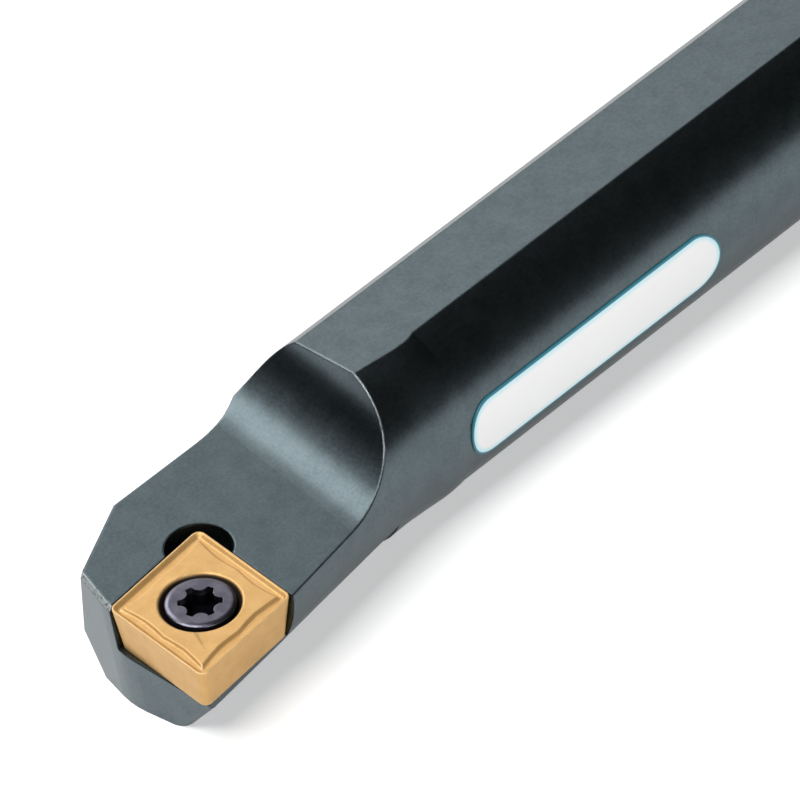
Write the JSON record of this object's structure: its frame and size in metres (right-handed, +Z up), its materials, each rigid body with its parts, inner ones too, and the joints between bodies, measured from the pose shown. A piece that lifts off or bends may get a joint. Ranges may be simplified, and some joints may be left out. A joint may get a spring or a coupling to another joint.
{
  "type": "boring bar",
  "caption": "Round steel boring bar with two flats, a tilted head and a screw-clamped rhombic cutting insert.",
  "frame": {"origin": "where the shank's axis meets its rear end face", "axes": "+X along the shank to the cutting tip, +Y to the side of the cutting corner, +Z up, square to the clamping flat"},
  "size_m": [0.125, 0.012, 0.009],
  "materials": {
    "blackened_steel": "blackened, satin",
    "coated_carbide": "gold nitride coating, satin",
    "screw_steel": "dark, semi-bright",
    "label_film": "white with a thin teal rim, gloss"
  },
  "bodies": {
    "root": {"bar_body": "blackened_steel", "cutting_insert": "coated_carbide", "clamp_screw": "screw_steel", "shank_label": "label_film"}
  },
  "joints": []
}
